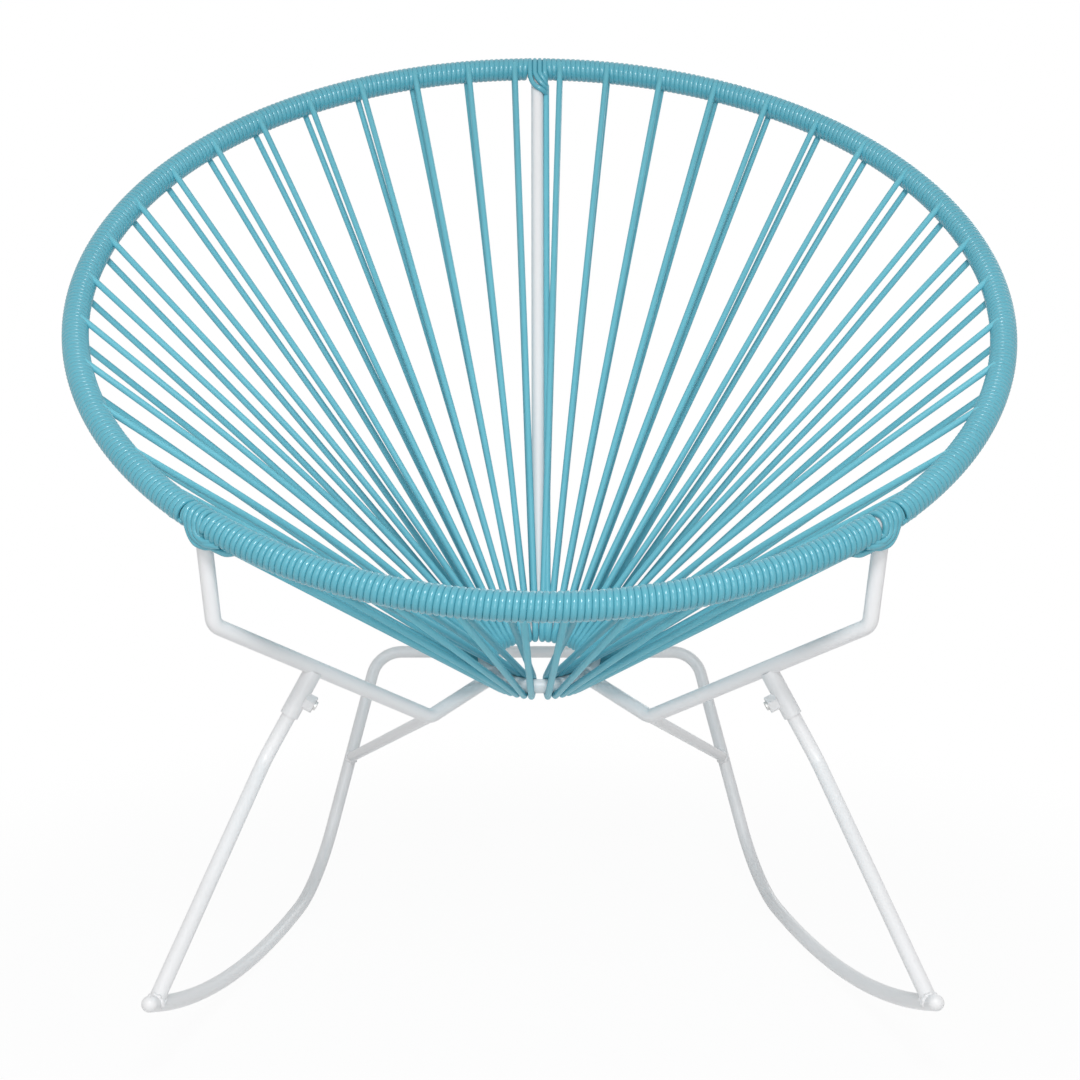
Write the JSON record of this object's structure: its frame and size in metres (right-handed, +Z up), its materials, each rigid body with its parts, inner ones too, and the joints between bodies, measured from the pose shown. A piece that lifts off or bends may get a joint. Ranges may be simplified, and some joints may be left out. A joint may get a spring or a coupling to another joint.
{
  "type": "rocking lounge chair",
  "caption": "Low rocking lounge chair: a tilted round hoop strung with taut cord to a small ring, on bent tube arms and curved rocker rails.",
  "frame": {"origin": "on the floor, under the middle of the chair's bounding box", "axes": "+X to the right of someone facing the chair, -Y towards the chair's front, +Z up"},
  "size_m": [0.833, 0.7149, 0.8338],
  "materials": {
    "white_paint": "satin",
    "zinc_steel": "satin",
    "cord": "glossy"
  },
  "bodies": {
    "root": {"seat_hoop": "white_paint", "bottom_ring": "white_paint", "spine_tube": "white_paint", "left_arm": "white_paint", "left_leg_socket": "white_paint", "left_socket_nut": "white_paint", "left_front_leg": "white_paint", "left_rocker_rail": "white_paint", "left_runner_cap": "white_paint", "left_brace": "white_paint", "right_arm": "white_paint", "right_leg_socket": "white_paint", "right_socket_nut": "white_paint", "right_front_leg": "white_paint", "right_rocker_rail": "white_paint", "right_runner_cap": "white_paint", "right_brace": "white_paint", "left_set_screw": "zinc_steel", "right_set_screw": "zinc_steel", "rim_wrap_right": "cord", "rim_wrap_left": "cord", "rim_wrap_front_right": "cord", "rim_wrap_front_left": "cord", "rim_winding_front": "cord", "strands_left_top": "cord", "strands_left_middle": "cord", "strands_left_low": "cord", "strands_left_front": "cord", "strands_right_top": "cord", "strands_right_middle": "cord", "strands_right_low": "cord", "strands_right_front": "cord"}
  },
  "joints": []
}
